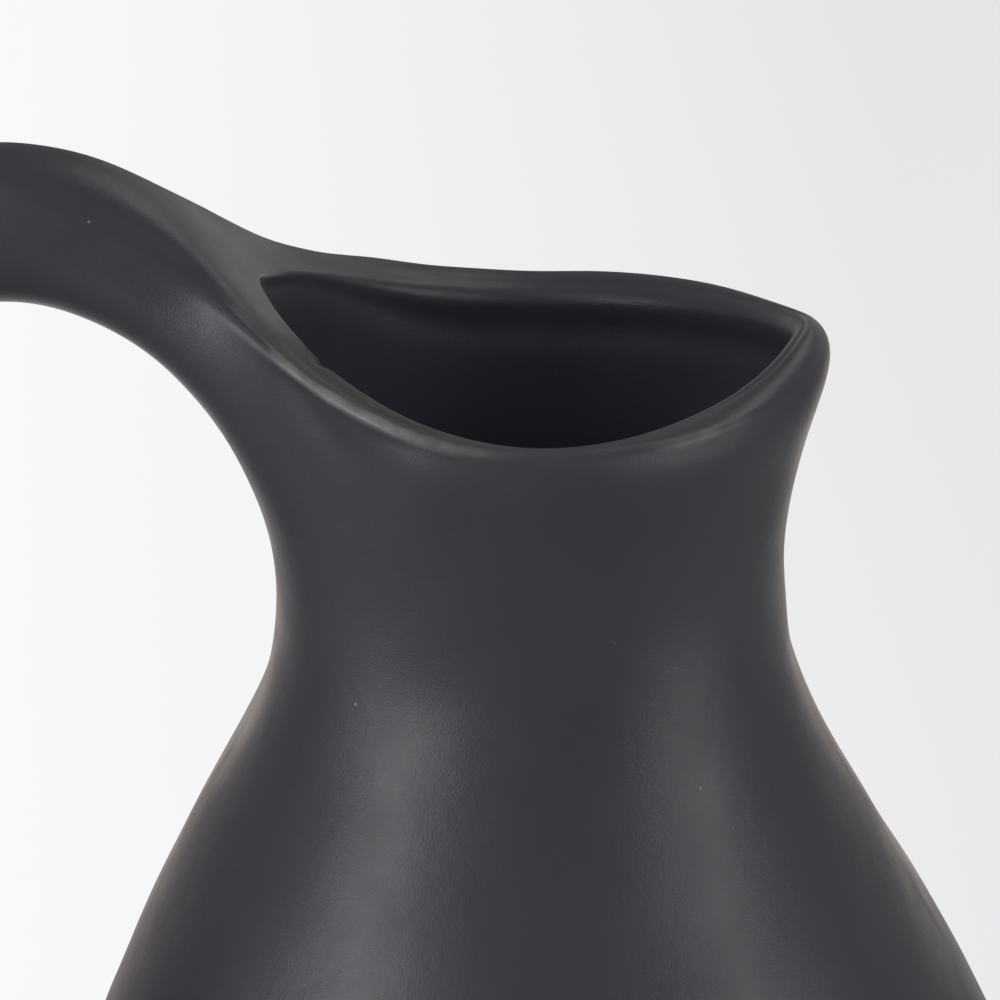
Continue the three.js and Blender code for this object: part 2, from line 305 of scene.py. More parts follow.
# Crown's height, how far the first ring inside is tucked in and dropped, and the guard ring's place
CRISP = (0.5, 0.35, 1.0, 0.22)
SOFT = (1.0, 1.4, 2.5, 0.55)
SET_BACK = -0.7
WALL = 6.5
FLOOR_TOP = 12.0
INNER_HEIGHTS = [251.0, 241.0, 226.0, 208.0, 186.0, 160.0, 130.0, 100.0, 70.0, 45.0, 31.0]
FLOOR_RINGS = [(67.0, 18.5), (58.0, FLOOR_TOP + 0.9), (38.0, FLOOR_TOP), (14.0, FLOOR_TOP)]

softness = smoothstep(np.cos(angles) + SOFT_TOWARD_FAR_SIDE * np.sin(angles), *SOFTENS)[:, None]
crown, tuck, drop, guard = (crisp + (soft - crisp) * softness for crisp, soft in zip(CRISP, SOFT))
ridge = mouth_line(OUTER_RIDGE, angles) - ROLL_DROP * softness * UPWARD
edge = mouth_line(INNER_EDGE, angles)
# The third is the guard ring. It lies close beside the inner edge, keeps it from curling up and gets its
# place once the crown has its own
rings += [ridge, (ridge + edge) / 2 + crown * UPWARD, edge, edge]
rings.append(edge - tuck * outward(INNER_EDGE, angles) - drop * UPWARD)
# Rings that close up toward a crisp edge step by step keep the skin from curling up there
BELOW_EDGE = 0.3
SPACING_BY_DROP = 2.6
SECOND_SPACING = 4.2
first_inside = INNER_EDGE["height"] - BELOW_EDGE - SPACING_BY_DROP * drop[:, 0]
inner_round = INNER_EDGE["half_width"] + SET_BACK
for height in [first_inside, first_inside - SECOND_SPACING, *INNER_HEIGHTS]:
    depth = WALL + (LIP_FACE_RADIUS - inner_round - WALL) * smoothstep(height, NECK_HEIGHT, LIP_FACE_HEIGHT)
    rings.append(wall_point(height, angles, INNER_EDGE, SET_BACK, depth))
rings += [level_ring(*place) for place in FLOOR_RINGS]
print("rings in the shell's cage:", len(rings))

# %% [markdown]
# ## Where the handle leaves the rim
# At the back the lip opens out. Its ridges swing away from the mouth onto the handle's two sides, and the
# lip's flat top widens into the handle's crown. The rings above are bent to that: for each column near
# the handle, the points of the lip's top and of the window's edge are given one by one, as a modeller
# would push them into place.

# %% Shape the back of the lip and the window under it
# For columns 0, 1, 2 and so on away from the handle's middle: distance back, distance aside, height
RIDGE_AT_BACK = [
    (57.2, 0.0, 292.2),
    (56.4, 10.5, 290.9),
    (53.4, 19.0, 288.1),
    (48.0, 28.2, 282.3),
    (40.1, 35.5, 277.8),
]
CROWN_AT_BACK = [(54.6, 0.0, 288.4), (53.9, 7.2, 287.5), (50.9, 15.2, 285.0), (45.9, 23.3, 281.6)]
UNDER_ROOT = [(48.7, 0.0, 230.6), (48.0, 8.6, 231.8), (46.0, 17.0, 235.2), (41.6, 25.6, 241.0)]
ROOT_SIDE = [(44.6, 26.9, 256.0), (47.3, 28.3, 270.0)]


def set_back_column(ring, aside, place):
    """Puts the points of a ring that lie some columns to either side of the handle's middle."""
    back, side, height = place
    rings[ring][BACK + aside] = (-back, -side, height)
    rings[ring][BACK - aside] = (-back, side, height)


for ring, places in ((ridge_ring, RIDGE_AT_BACK), (ridge_ring + 1, CROWN_AT_BACK), (root_low, UNDER_ROOT)):
    for aside, place in enumerate(places):
        set_back_column(ring, aside, place)
for step, place in enumerate(ROOT_SIDE):
    set_back_column(root_low + 1 + step, ROOT_HALF_COLUMNS, place)
rings[ridge_ring + 2] = edge + guard * (rings[ridge_ring + 1] - edge)
print("the ridge crosses the handle's middle", RIDGE_AT_BACK[0][2], "mm above the foot")

# %% [markdown]
# ## The handle's stations
# The loop is laid out in stations, like the ribs of a boat. Near the root each station has a top point,
# an underside point, a half width and the place of the rim's ridge on its side. Past the crest the
# handle is a plain oval that follows one smooth curve down to the belly.

# %% Place the stations at the handle's root
# Top (back, height), underside (back, height), half width, ridge (aside, height)
ROOT_STATIONS = [
    ((60.2, 296.0), (52.5, 242.6), 23.6, (21.6, 288.2)),
    ((65.2, 299.2), (57.6, 254.2), 20.4, (18.4, 291.2)),
    ((70.8, 301.4), (63.8, 264.2), 18.4, (16.2, 293.9)),
    ((77.4, 304.2), (71.4, 272.1), 17.2, (14.8, 296.7)),
    ((85.2, 307.0), (80.8, 277.8), 16.3, (13.7, 299.9)),
    ((93.6, 309.7), (91.4, 279.8), 15.8, (13.3, 302.2)),
]
HANDLE_POINTS = 18
# Turn of each station's points from its top, near the root and at the landing
ROOT_TURNS = np.radians([0, 19, 40, 58, 80, 100, 120, 139, 159, 180])
LANDING_TURNS = np.radians([0, 34, 52, 67, 82, 97, 112, 128, 148, 180])
# The point of a station that is drawn out to the ridge, and how much the points below and above follow
RIDGE_POINT = 3
FOLLOW_BELOW = 0.35
FOLLOW_ABOVE = 0.3


def ring_from(centre, up, half_depth, half_width, turns):
    """One closed ring of the handle, its first point at the outside of the loop."""
    k = np.arange(HANDLE_POINTS)
    first_side = k <= HANDLE_POINTS // 2
    turn = turns[np.where(first_side, k, HANDLE_POINTS - k)]
    x = centre[0] + up[0] * half_depth * np.cos(turn)
    z = centre[1] + up[1] * half_depth * np.cos(turn)
    return np.stack([x, np.where(first_side, 1.0, -1.0) * half_width * np.sin(turn), z], axis=-1)


def root_ring(top, under, half_width, ridge_place):
    """A station near the root: an oval with the rim's ridge drawn out of its shoulder."""
    top = np.array([-top[0], top[1]])
    under = np.array([-under[0], under[1]])
    centre = (top + under) / 2
    up = (top - under) / np.linalg.norm(top - under)
    half_depth = np.linalg.norm(top - under) / 2
    ring = ring_from(centre, up, half_depth, half_width, ROOT_TURNS)
    ridge_x = centre[0] + up[0] * (ridge_place[1] - centre[1]) / up[1]
    for sign, index in ((1, RIDGE_POINT), (-1, HANDLE_POINTS - RIDGE_POINT)):
        moved = np.array([ridge_x, sign * ridge_place[0], ridge_place[1]]) - ring[index]
        ring[index] += moved
        ring[index + sign] += FOLLOW_BELOW * moved
        ring[index - sign] += FOLLOW_ABOVE * moved
    return ring


handle_rings = [root_ring(*station) for station in ROOT_STATIONS]
print("stations at the root:", len(handle_rings))

# %% Place the stations round the loop
LIP_HEIGHT = 269.5
CREST = (-NECK_RADIUS - 55.0, LIP_HEIGHT + 26.5)
WIDEST = (-NECK_RADIUS - 94.0, LIP_HEIGHT - 27.0)
LANDING = (forward(LANDING_HEIGHT) - outside_radius(LANDING_HEIGHT) + 8.0, LANDING_HEIGHT)
fall = WIDEST[1] - LANDING[1]
CREST_TO_WIDEST = [
    CREST,
    (CREST[0] + 0.6 * (WIDEST[0] - CREST[0]), CREST[1]),
    (WIDEST[0], WIDEST[1] + 0.5 * (CREST[1] - WIDEST[1])),
    WIDEST,
]
WIDEST_TO_LANDING = [
    WIDEST,
    (WIDEST[0], WIDEST[1] - 0.4 * fall),
    (LANDING[0] + 0.95 * (WIDEST[0] - LANDING[0]), LANDING[1] + 0.14 * fall),
    LANDING,
]
# Half depth and half width
CREST_HALF = np.array([15.7, 15.5])
GRIP_HALF = np.array([14.0, 14.5])
LANDING_HALF = np.array([17.5, 18.0])
# Curve, places on it, halves at its start and end, where they start to change, share of the landing's turns
LOOP = [
    (CREST_TO_WIDEST, (0.0, 0.25, 0.5, 0.75), CREST_HALF, GRIP_HALF, 0.0, 0.0),
    (WIDEST_TO_LANDING, (0.0, 0.16, 0.32, 0.48, 0.62, 0.74, 0.85), GRIP_HALF, LANDING_HALF, 0.5, 1.0),
]


def bezier(points, t):
    """Place and direction at t on a cubic curve."""
    a, b, c, d = (np.array(p, float) for p in points)
    place = a * (1 - t) ** 3 + 3 * b * t * (1 - t) ** 2 + 3 * c * t**2 * (1 - t) + d * t**3
    along = 3 * (b - a) * (1 - t) ** 2 + 6 * (c - b) * t * (1 - t) + 3 * (d - c) * t**2
    return place, along / np.linalg.norm(along)


for curve, steps, half_from, half_to, change_from, landing_share in LOOP:
    for t in steps:
        place, along = bezier(curve, t)
        change = float(smoothstep(t, change_from, 1.0))
        halves = half_from * (1 - change) + half_to * change
        share = landing_share * t
        turns = ROOT_TURNS * (1 - share) + LANDING_TURNS * share
        handle_rings.append(ring_from(place, (along[1], -along[0]), *halves, turns))
print("stations on the handle:", len(handle_rings))

# %% [markdown]
# ## Joining the cage
# The rings become one mesh. Faces inside the two windows are left out, and the handle's first and last
# rings share the windows' own corners. Each face remembers whether it is shell or handle, because the
# two are separate pieces on the real jug and become separate objects at the end.

# %% Join the rings into one cage
SHELL = 0
HANDLE = 1


def corner(ring, column):
    """Number of a vertex of the shell's cage."""
    return ring * COLUMNS + column


def in_window(ring, column):
    """Whether the face above and after a vertex lies in one of the handle's windows."""
    in_root = root_low <= ring < ridge_ring and BACK - ROOT_HALF_COLUMNS <= column < BACK + ROOT_HALF_COLUMNS
    in_landing = landing_low <= ring < landing_low + LANDING_ROWS and BACK - 1 <= column < BACK + 1
    return in_root or in_landing


def faces_between(near, far):
    """Four-sided faces between two closed loops of corners."""
    return [list(quad) for quad in zip(near, near[1:] + near[:1], far[1:] + far[:1], far)]


def window(aside_sequence):
    """Window corners in the order of a handle ring: from its outside, down one flank and up the other."""
    first = [corner(ring, BACK - aside) for ring, aside in aside_sequence]
    return first + [corner(ring, BACK + aside) for ring, aside in reversed(aside_sequence[1:-1])]


vertices = [point for ring in rings for point in ring]
shell_loops = [[corner(ring, column) for column in range(COLUMNS)] for ring in range(len(rings))]
faces = []
for ring, (near, far) in enumerate(zip(shell_loops, shell_loops[1:])):
    faces += [quad for column, quad in enumerate(faces_between(near, far)) if not in_window(ring, column)]
faces += [shell_loops[0][::-1], shell_loops[-1]]
face_piece = [SHELL] * len(faces)

across_root = range(ROOT_HALF_COLUMNS + 1)
root_window = window(
    [(ridge_ring, aside) for aside in across_root]
    + [(ring, ROOT_HALF_COLUMNS) for ring in (ridge_ring - 1, ridge_ring - 2)]
    + [(root_low, aside) for aside in reversed(across_root)]
)
landing_top = landing_low + LANDING_ROWS
landing_side = [(ring, 1) for ring in range(landing_low, landing_top + 1)]
loops = [root_window]
for ring in handle_rings:
    loops.append([len(vertices) + k for k in range(HANDLE_POINTS)])
    vertices += list(ring)
loops.append(window([(landing_low, 0), *landing_side, (landing_top, 0)]))
for near, far in zip(loops, loops[1:]):
    faces += faces_between(near, far)
face_piece += [HANDLE] * (len(faces) - len(face_piece))

used = sorted({index for face in faces for index in face})
renumber = {old: new for new, old in enumerate(used)}
cage_points = np.array([vertices[old] for old in used])
cage_faces = [[renumber[index] for index in face] for face in faces]
corner_count = len(cage_points)
print("cage:", corner_count, "points,", len(cage_faces), "faces")

# %% [markdown]
# ## Making the skin pass through the cage
# A subdivided surface lies inside its cage, so a cage laid on the real sizes gives a jug that is too
# small. One could guess a bigger cage. Instead one set of equations is solved for all the cage's corners
# at once. Each corner's own equation says that the skin passes through the wanted place: where the skin
# ends up is a known average of the corner, its neighbours and the corners across its faces.

# %% Find the neighbours of each corner
beside = [set() for _ in range(corner_count)]
across = [[] for _ in range(corner_count)]
faces_at = [[] for _ in range(corner_count)]
for face in cage_faces:
    size = len(face)
    for k, here in enumerate(face):
        beside[here] |= {face[k - 1], face[(k + 1) % size]}
        # Only a four-sided face has one corner across it
        across[here].append(face[(k + 2) % size] if size == 4 else None)
        faces_at[here].append(face)

system = np.zeros((corner_count, corner_count))
right_side = np.zeros((corner_count, 3))


def add_equation(corners, weights, place, strength):
    """Asks that the weighted sum of some corners lies at a place."""
    weights = np.asarray(weights, float)
    system[np.ix_(corners, corners)] += strength * np.outer(weights, weights)
    right_side[corners] += strength * np.outer(weights, place)


def skin_average(here):
    """The corners that decide where a corner ends up on the smooth skin, and their weights."""
    if None in across[here]:
        return [here], [1.0]
    size = len(beside[here])
    weights = np.array([size**2] + [4.0] * size + [1.0] * size)
    return [here, *beside[here], *across[here]], weights / weights.sum()


print("corners with other than four neighbours:", sum(len(around) != 4 for around in beside))

# %% [markdown]
# ## Fairing the handle's root
# Places given one by one are never quite fair: light on a glossy skin shows every one that stands half a
# millimetre off. A boat builder lays a batten along the frames and planes down the one that holds it
# away. The same is done here. Along each run of four corners the bend should change little, so each run
# adds an equation that asks for no change of bend. On the round shell the wanted places win, and near
# the handle's root the batten does.

# %% Say where the battens go
ALONG_WEIGHT = 0.5
ROUND_WEIGHT = 0.03
ROOT_HOLD = 0.05
STATION_HOLD = 0.2
BACK_HOLD = 0.3

handle_start = len(rings) * COLUMNS
old_number = np.array(used)
on_handle = old_number >= handle_start
ring_of = np.where(on_handle, (old_number - handle_start) // HANDLE_POINTS, old_number // COLUMNS)
column_of = np.where(on_handle, 0, np.abs(old_number % COLUMNS - BACK))
under_lip = (ring_of >= root_low - 2) & (ring_of < ridge_ring)
shell_root = ~on_handle & (column_of <= ROOT_HALF_COLUMNS + 2) & under_lip
lip_back = ~on_handle & (column_of <= 2) & (ring_of >= ridge_ring) & (ring_of <= ridge_ring + 2)
hold = np.select([on_handle, shell_root, lip_back], [STATION_HOLD, ROOT_HOLD, BACK_HOLD], 1.0)
print("corners left to the battens:", int((hold < 1.0).sum()))


# %% Lay the battens and solve for the cage
def straight_on(before, here):
    """The corner reached by going straight on from one corner through its neighbour, if there is one."""
    if len(beside[here]) != 4 or None in across[here]:
        return None
    shared = {other for face in faces_at[here] if before in face for other in face}
    left = beside[here] - shared
    return left.pop() if len(left) == 1 else None


def bend_change(run):
    """Weights of four places that give the change of bend along them, whatever their spacing."""
    gaps = np.linalg.norm(np.diff(cage_points[run], axis=0), axis=1)
    at = np.concatenate([[0.0], np.cumsum(gaps)])
    unit = 6.0 * (at[3] / 3.0) ** 3
    return [unit / np.prod([at[i] - at[j] for j in range(4) if j != i]) for i in range(4)]


battens = 0
for here in range(corner_count):
    add_equation(*skin_average(here), cage_points[here], hold[here])
    for other in beside[here]:
        if here > other or max(hold[here], hold[other]) == 1.0:
            continue
        run = [straight_on(other, here), here, other, straight_on(here, other)]
        if None not in run:
            round_handle = on_handle[here] and on_handle[other] and ring_of[here] == ring_of[other]
            add_equation(run, bend_change(run), np.zeros(3), ROUND_WEIGHT if round_handle else ALONG_WEIGHT)
            battens += 1
cage = np.linalg.solve(system, right_side)
print("battens:", battens)

# %% Subdivide the cage into the skin
SKIN_LEVELS = 3


def mesh_from(name, points, polygons):
    """A new smooth mesh from points in metres."""
    mesh = bpy.data.meshes.new(name)
    mesh.from_pydata([tuple(point) for point in points], [], polygons, shade_flat=False)
    mesh.validate()
    return mesh


cage_mesh = mesh_from("cage", to_metres(cage), cage_faces)
cage_mesh.polygons.foreach_set("material_index", np.array(face_piece, np.int32))
holder = add_object("cage", cage_mesh)
modifier = holder.modifiers.new("skin", "SUBSURF")
modifier.levels = SKIN_LEVELS
modifier.quality = 4
skin = bpy.data.meshes.new_from_object(holder.evaluated_get(bpy.context.evaluated_depsgraph_get()))
bpy.data.objects.remove(holder)
bpy.data.meshes.remove(cage_mesh)
skin_count = len(skin.vertices)
print("skin:", skin_count, "points")

# %% [markdown]
# ## What the hand and the mould leave behind
# A cast jug isn't perfect. Where the handle was luted on, a thumb has drawn a soft groove above the
# ridge and a hollow below it, and the near side of the lip has a groove along its top, a swelling outside
# its ridge and a nick in its inner edge. The mould's seam is scraped flush but still shows as a faint
# line, the walls are slightly uneven, and one spot of slip stands up on the neck. Sculpting would show
# the same, but a few paths with a depth and a width each can be read, changed and repeated exactly.

# %% Measure how near each point lies to a path
# Side of the jug, and how much of a mark's depth it has: the far side's marks are fainter
BOTH_SIDES = ((-1.0, 1.0), (1.0, 0.25))
NEAR_SIDE = ((-1.0, 1.0),)


def read_mesh(items, attribute, width, kind=np.float32):
    """One attribute of a mesh's points, edges or faces, as an array with a row for each."""
    flat = np.zeros(len(items) * width, kind)
    items.foreach_get(attribute, flat)
    return flat.reshape(-1, width)


def read_normals():
    """Which way the skin faces at each point."""
    return read_mesh(skin.vertex_normals, "vector", 3).astype(float)


places = (read_mesh(skin.vertices, "co", 3).astype(float) - foot_middle) / MM
normals = read_normals()


def along_path(path, width, sides):
    """How much of a path's depth reaches each point. The path is a list of x, y, z and depth, in mm."""
    reach = np.zeros(skin_count)
    for side, share in sides:
        nodes = np.array(path, float)
        nodes[:, 1] *= side
        nodes[:, 3] *= share
        for start, end in zip(nodes, nodes[1:]):
            span = end[:3] - start[:3]
            t = np.clip((places - start[:3]) @ span / (span @ span), 0.0, 1.0)
            distance = np.linalg.norm(places - start[:3] - t[:, None] * span, axis=1)
            depth = start[3] + t * (end[3] - start[3])
            reach = np.maximum(reach, depth * np.exp(-((distance / width) ** 2)))
    return reach


# %% Press and raise along paths
THUMB_GROOVE = [
    (-95.4, 11.9, 304.9, 0.1),
    (-88.2, 11.3, 304.6, 0.3),
    (-79.1, 12.6, 301.4, 0.5),
    (-69.9, 14.6, 296.9, 0.75),
    (-60.8, 18.5, 291.4, 0.9),
    (-53.4, 22.9, 286.4, 0.8),
    (-46.0, 26.7, 281.6, 0.45),
    (-42.3, 30.1, 279.4, 0.1),
]
RAISED_RIDGE = [
    (-78.0, 14.6, 297.0, 0.0),
    (-69.9, 16.4, 294.3, 0.2),
    (-64.4, 18.3, 291.3, 0.4),
    (-57.0, 22.4, 286.4, 0.55),
    (-49.6, 28.5, 281.5, 0.55),
    (-42.2, 35.0, 276.9, 0.45),
    (-34.9, 40.8, 273.7, 0.15),
    (-27.0, 44.6, 271.7, 0.0),
]
HOLLOW_BELOW = [
    (-45.0, 32.0, 279.0, 0.1),
    (-43.0, 33.9, 275.0, 0.6),
    (-40.1, 35.4, 270.6, 0.7),
    (-35.9, 37.9, 266.4, 0.45),
    (-27.7, 44.0, 263.9, 0.0),
]
SLIP_SPOT = [(-6.2, 47.7, 236.2, 0.22), (-5.6, 47.7, 236.0, 0.22)]
# Degrees from the spout and depth, half way between the mouth's two lines
LIP_GROOVE = [(146, 0.5), (135, 0.75), (124, 0.75), (112, 0.65), (101, 0.45), (90, 0.25), (78, 0.0)]
# Degrees from the spout and height of the swelling, just outside the ridge and below it
ROLL_OUTSIDE = 1.0
ROLL_BELOW = 0.4
ROLL_AT_BACK = [(150, 0.0), (142, 0.5), (133, 0.85), (124, 1.05), (116, 1.15), (108, 1.1), (101, 0.55)]
ROLL_AT_FRONT = [(93, 0.0), (72, 0.0), (63, 0.45), (56, 0.75), (47, 0.5), (34, 0.0)]
NICK_TURN = 138.5
NICK_DEPTH = 0.55
NICK_REACH = (-0.5, 1.0)


def at_lip(line, degrees, aside=0.0):
    """A place beside one of the mouth's lines."""
    turn = math.radians(degrees)
    return mouth_line(line, turn) + aside * outward(line, turn)


lip_groove = [(*((at_lip(INNER_EDGE, at) + at_lip(OUTER_RIDGE, at)) / 2), depth) for at, depth in LIP_GROOVE]
lip_roll = []
for at, swell in ROLL_AT_BACK + ROLL_AT_FRONT:
    lip_roll.append((*(at_lip(OUTER_RIDGE, at, ROLL_OUTSIDE) - ROLL_BELOW * UPWARD), swell))
nick = [(*at_lip(INNER_EDGE, NICK_TURN, aside), NICK_DEPTH) for aside in NICK_REACH]
# Path, 1 for raised or -1 for pressed in, width, sides
MARKS = [
    (THUMB_GROOVE, -1, 2.8, BOTH_SIDES),
    (lip_roll, 1, 1.5, NEAR_SIDE),
    (lip_groove, -1, 2.1, NEAR_SIDE),
    (RAISED_RIDGE, 1, 2.0, BOTH_SIDES),
    (HOLLOW_BELOW, -1, 4.0, BOTH_SIDES),
    (SLIP_SPOT, 1, 1.1, NEAR_SIDE),
    (nick, -1, 1.2, NEAR_SIDE),
]
push = np.zeros(skin_count)
for path, way, width, sides in MARKS:
    push += way * along_path(path, width, sides)
print("marks: from", round(float(push.min()), 2), "to", round(float(push.max()), 2), "mm")

# %% Add the seam and the unevenness of the wall
SEAM_WIDTH = 1.4
SEAM_HEIGHT = 0.16
SEAM_ENDS = (258.0, 268.0)
# The scraper took more off in some places: steady share, changing share, change in radians a mm
SCRAPED = (0.6, 0.4, 0.21)
UNEVEN = 0.16
FOOT_STAYS_TRUE = (0.5, FOOT_BEVEL + 6.0)
# x, z, how far out, how wide: places where the wall stands out or in beside the seam
SOFT_SPOTS = [
    (-57.5, 194.0, -0.7, 12.0),
    (-66.0, 176.0, 0.5, 13.0),
    (48.6, 211.0, -0.7, 9.0),
    (66.5, 175.0, 0.4, 13.0),
]
# Direction over the jug, length of the wave in mm, share of the unevenness
WAVES = [
    ((0.9, 0.3, 0.3), 61.0, 1.0),
    ((-0.4, 0.8, 0.5), 47.0, 0.8),
    ((0.3, -0.5, 0.8), 38.0, 0.7),
    ((0.6, 0.7, -0.4), 27.0, 0.4),
    ((-0.7, 0.2, 0.7), 21.0, 0.25),
]
WAVE_SHIFT = 7.0

x, y, z = places.T
outside = (normals[:, 0] * (x - forward(z)) + normals[:, 1] * y) > 0
seam = np.exp(-((y / SEAM_WIDTH) ** 2)) * (outside & (z > FOOT_BEVEL)) * (1.0 - smoothstep(z, *SEAM_ENDS))
push += SEAM_HEIGHT * seam * (SCRAPED[0] + SCRAPED[1] * np.sin(z * SCRAPED[2]))
for spot_x, spot_z, out, wide in SOFT_SPOTS:
    distance = np.linalg.norm(places - np.array([spot_x, 0.0, spot_z]), axis=1)
    push += out * np.exp(-((distance / wide) ** 2))
for heading, length, share in WAVES:
    phase = places @ np.array(heading) * 2.0 * math.pi / length + WAVE_SHIFT * share
    push += UNEVEN * share * np.sin(phase)
push *= smoothstep(z, *FOOT_STAYS_TRUE)

finished = places + push[:, None] * normals
finished_metres = to_metres(finished)
skin.vertices.foreach_set("co", finished_metres.astype(np.float32).ravel())
skin.update()
print("the skin moved by up to", round(float(np.abs(push).max()), 2), "mm")

# %% [markdown]
# ## Where the glaze runs thin, and painted light
# Glaze is liquid in the kiln. It draws back from sharp edges and shows the warm clay there, and a painted
# highlight lightens those edges further. It is wiped off the foot, which would stick to the shelf. The
# inside is painted paler, as light that lifts its shade. All of this is decided by the shape, so it is
# written on the mesh as masks, one number at each point, which the material reads later. How sharp the
# skin is at a point shows in how fast its normal turns on the way to the neighbours.

# %% Measure how sharp the skin is
EDGE_SPREAD_ROUNDS = 2

finished_normals = read_normals()
edge_ends = read_mesh(skin.edges, "vertices", 2, np.int32)
first_ends, second_ends = edge_ends.T
edges_at = np.bincount(edge_ends.ravel(), minlength=skin_count).astype(float)


def neighbour_mean(values):
    """Mean of a value over the points next to each point."""
    total = np.bincount(first_ends, values[second_ends], skin_count)
    total += np.bincount(second_ends, values[first_ends], skin_count)
    return total / edges_at


along_edge = finished[first_ends] - finished[second_ends]
turning = finished_normals[first_ends] - finished_normals[second_ends]
bend = (turning * along_edge).sum(axis=1) / (along_edge**2).sum(axis=1)
sharpness = np.zeros(skin_count)
for ends in (first_ends, second_ends):
    np.maximum.at(sharpness, ends, bend)
for spread in range(EDGE_SPREAD_ROUNDS):
    sharpness = (sharpness + neighbour_mean(sharpness)) / 2
print("sharpest bend: a radius of", round(1.0 / float(sharpness.max()), 2), "mm")

# %% Write the masks of the glaze
# Sharpness, as 1 over the radius of the bend in mm, at which the glaze starts and stops drawing back,
# and at which the painted edge highlight starts and is full
THIN_AND_HIGHLIGHT_RANGE = (0.34, 0.8)
# On the far side of the rim this share of the thin edge and its painted highlight is taken off, over this
# range of y
FAR_SIDE_HIDES = 0.85
FAR_SIDE_RANGE = (2.0, 12.0)
# How level the lip's flat is, and how far toward the camera, back and up it is rubbed, short of the handle
FLAT_RANGE = (0.72, 0.9)
RUBBED_NEAR = (14.0, 24.0)
RUBBED_BACK = (-8.0, 26.0)
RUBBED_UP = (268.0, 270.0)
RUBBED_END = (47.0, 56.0)
# Height at which the painted light inside the jug ends
PAINTED_LIGHT_INSIDE_END = (240.0, 270.0)
# The land of the foot ring is wiped clean: height and distance from its middle
LAND_UP_TO = (0.5, 1.1)
LAND_FROM = (recess_radius - 1.5, recess_radius)

x, y, z = finished.T
# Thin glaze at sharp edges, with a painted highlight along them, kept mostly to the near side
thin_and_highlight = smoothstep(sharpness, *THIN_AND_HIGHLIGHT_RANGE) * (1.0 - FAR_SIDE_HIDES * smoothstep(y, *FAR_SIDE_RANGE))
near_back = smoothstep(-y, *RUBBED_NEAR) * smoothstep(-x, *RUBBED_BACK)
rubbed_flat = smoothstep(normals[:, 2], *FLAT_RANGE) * near_back * smoothstep(z, *RUBBED_UP)
from_foot_middle = np.hypot(x - BELLY_FORWARD, y)
MASKS = {
    # Painted light that lifts the shade inside the jug
    "painted_light_inside": (1.0 - outside) * (1.0 - smoothstep(z, *PAINTED_LIGHT_INSIDE_END)),
    "thin_glaze_and_edge_highlight": thin_and_highlight,
    "wiped_rim": rubbed_flat * (1.0 - smoothstep(-x, *RUBBED_END)),
    "bare_clay": (1.0 - smoothstep(z, *LAND_UP_TO)) * smoothstep(from_foot_middle, *LAND_FROM),
}
for label, values in MASKS.items():
    print("points in the mask", label, "=", int((values > 0.5).sum()))

# %% [markdown]
# ## Two pieces of clay
# On the bench the body and the handle are cast apart, and the handle is luted on while both are damp.
# The skin is cut along that joint into two objects. Each one gets its open ends closed, so that it is a
# whole piece, and keeps the normals of the one skin, so that no line shows where they meet.

# %% Cut the skin into the body and the handle
TOWARD_HANDLE = np.array([-1.0, 0.0, 0.0])
quads = read_mesh(skin.polygons, "vertices", 4, np.int32)
piece_of_face = read_mesh(skin.polygons, "material_index", 1, np.int32)[:, 0]


def open_rims(polygons):
    """Closed runs of points where the mesh ends, in the order that a closing face needs."""
    edges = {(int(f[k]), int(f[(k + 1) % 4])) for f in polygons for k in range(4)}
    follow = {b: a for a, b in edges if (b, a) not in edges}
    rims = []
    while follow:
        first, here = follow.popitem()
        rim = [first]
        while here != first:
            rim.append(here)
            here = follow.pop(here)
        rims.append(rim)
    return rims


def stand_for(piece, node):
    """Puts a piece in the place of one of the frame's nodes."""
    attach(piece, "root")
    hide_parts(node)


def clay_piece(name, number, node, cap_out, cap_facing):
    """One closed object from the faces of one piece. Its ends are closed cap_out mm toward the handle."""
    points_used, polygons = np.unique(quads[piece_of_face == number], return_inverse=True)
    polygons = polygons.reshape(-1, 4)
    points = list(finished_metres[points_used])
    point_normals = [tuple(normal) for normal in finished_normals[points_used]]
    closing = []
    for rim in open_rims(polygons):
        points.append(np.mean([points[index] for index in rim], axis=0) + TOWARD_HANDLE * cap_out * MM)
        point_normals.append(tuple(TOWARD_HANDLE * cap_facing))
        closing += [(*pair, len(points) - 1) for pair in zip(rim, rim[1:] + rim[:1])]
    mesh = mesh_from(name, points, [tuple(map(int, polygon)) for polygon in polygons] + closing)
    for label, layer in MASKS.items():
        values = np.zeros(len(points), np.float32)
        values[: len(points_used)] = layer[points_used]
        mesh.attributes.new(label, "FLOAT", "POINT").data.foreach_set("value", values)
    mesh.normals_split_custom_set_from_vertices(point_normals)
    piece = add_object(name, mesh)
    stand_for(piece, node)
    print(name, "has", len(mesh.polygons), "faces and", len(closing), "of them close its ends")
    return piece


body = clay_piece("jug_body", SHELL, "body", 1.4, 1.0)
handle = clay_piece("jug_handle", HANDLE, "handle", 2.0, -1.0)
bpy.data.meshes.remove(skin)

# %% [markdown]
# ## Felt pads
# Four felt discs keep the bare foot off the table. The frame's discs are plain, and real felt is cut
# with a punch: its lower edge is pressed round, its cut side is furry and its face is never flat. Each
# pad is turned from a short profile and its points are moved a little by a formula.

# %% Make the felt pads
PAD_SEGMENTS = 48
PAD_EDGE = 0.35
PAD_FUZZ = 0.06
FUZZ_FROM = 0.9
TUFTS_ROUND = 17
TUFTS_UP = 9
pad_turns = 2.0 * np.pi * np.arange(PAD_SEGMENTS) / PAD_SEGMENTS


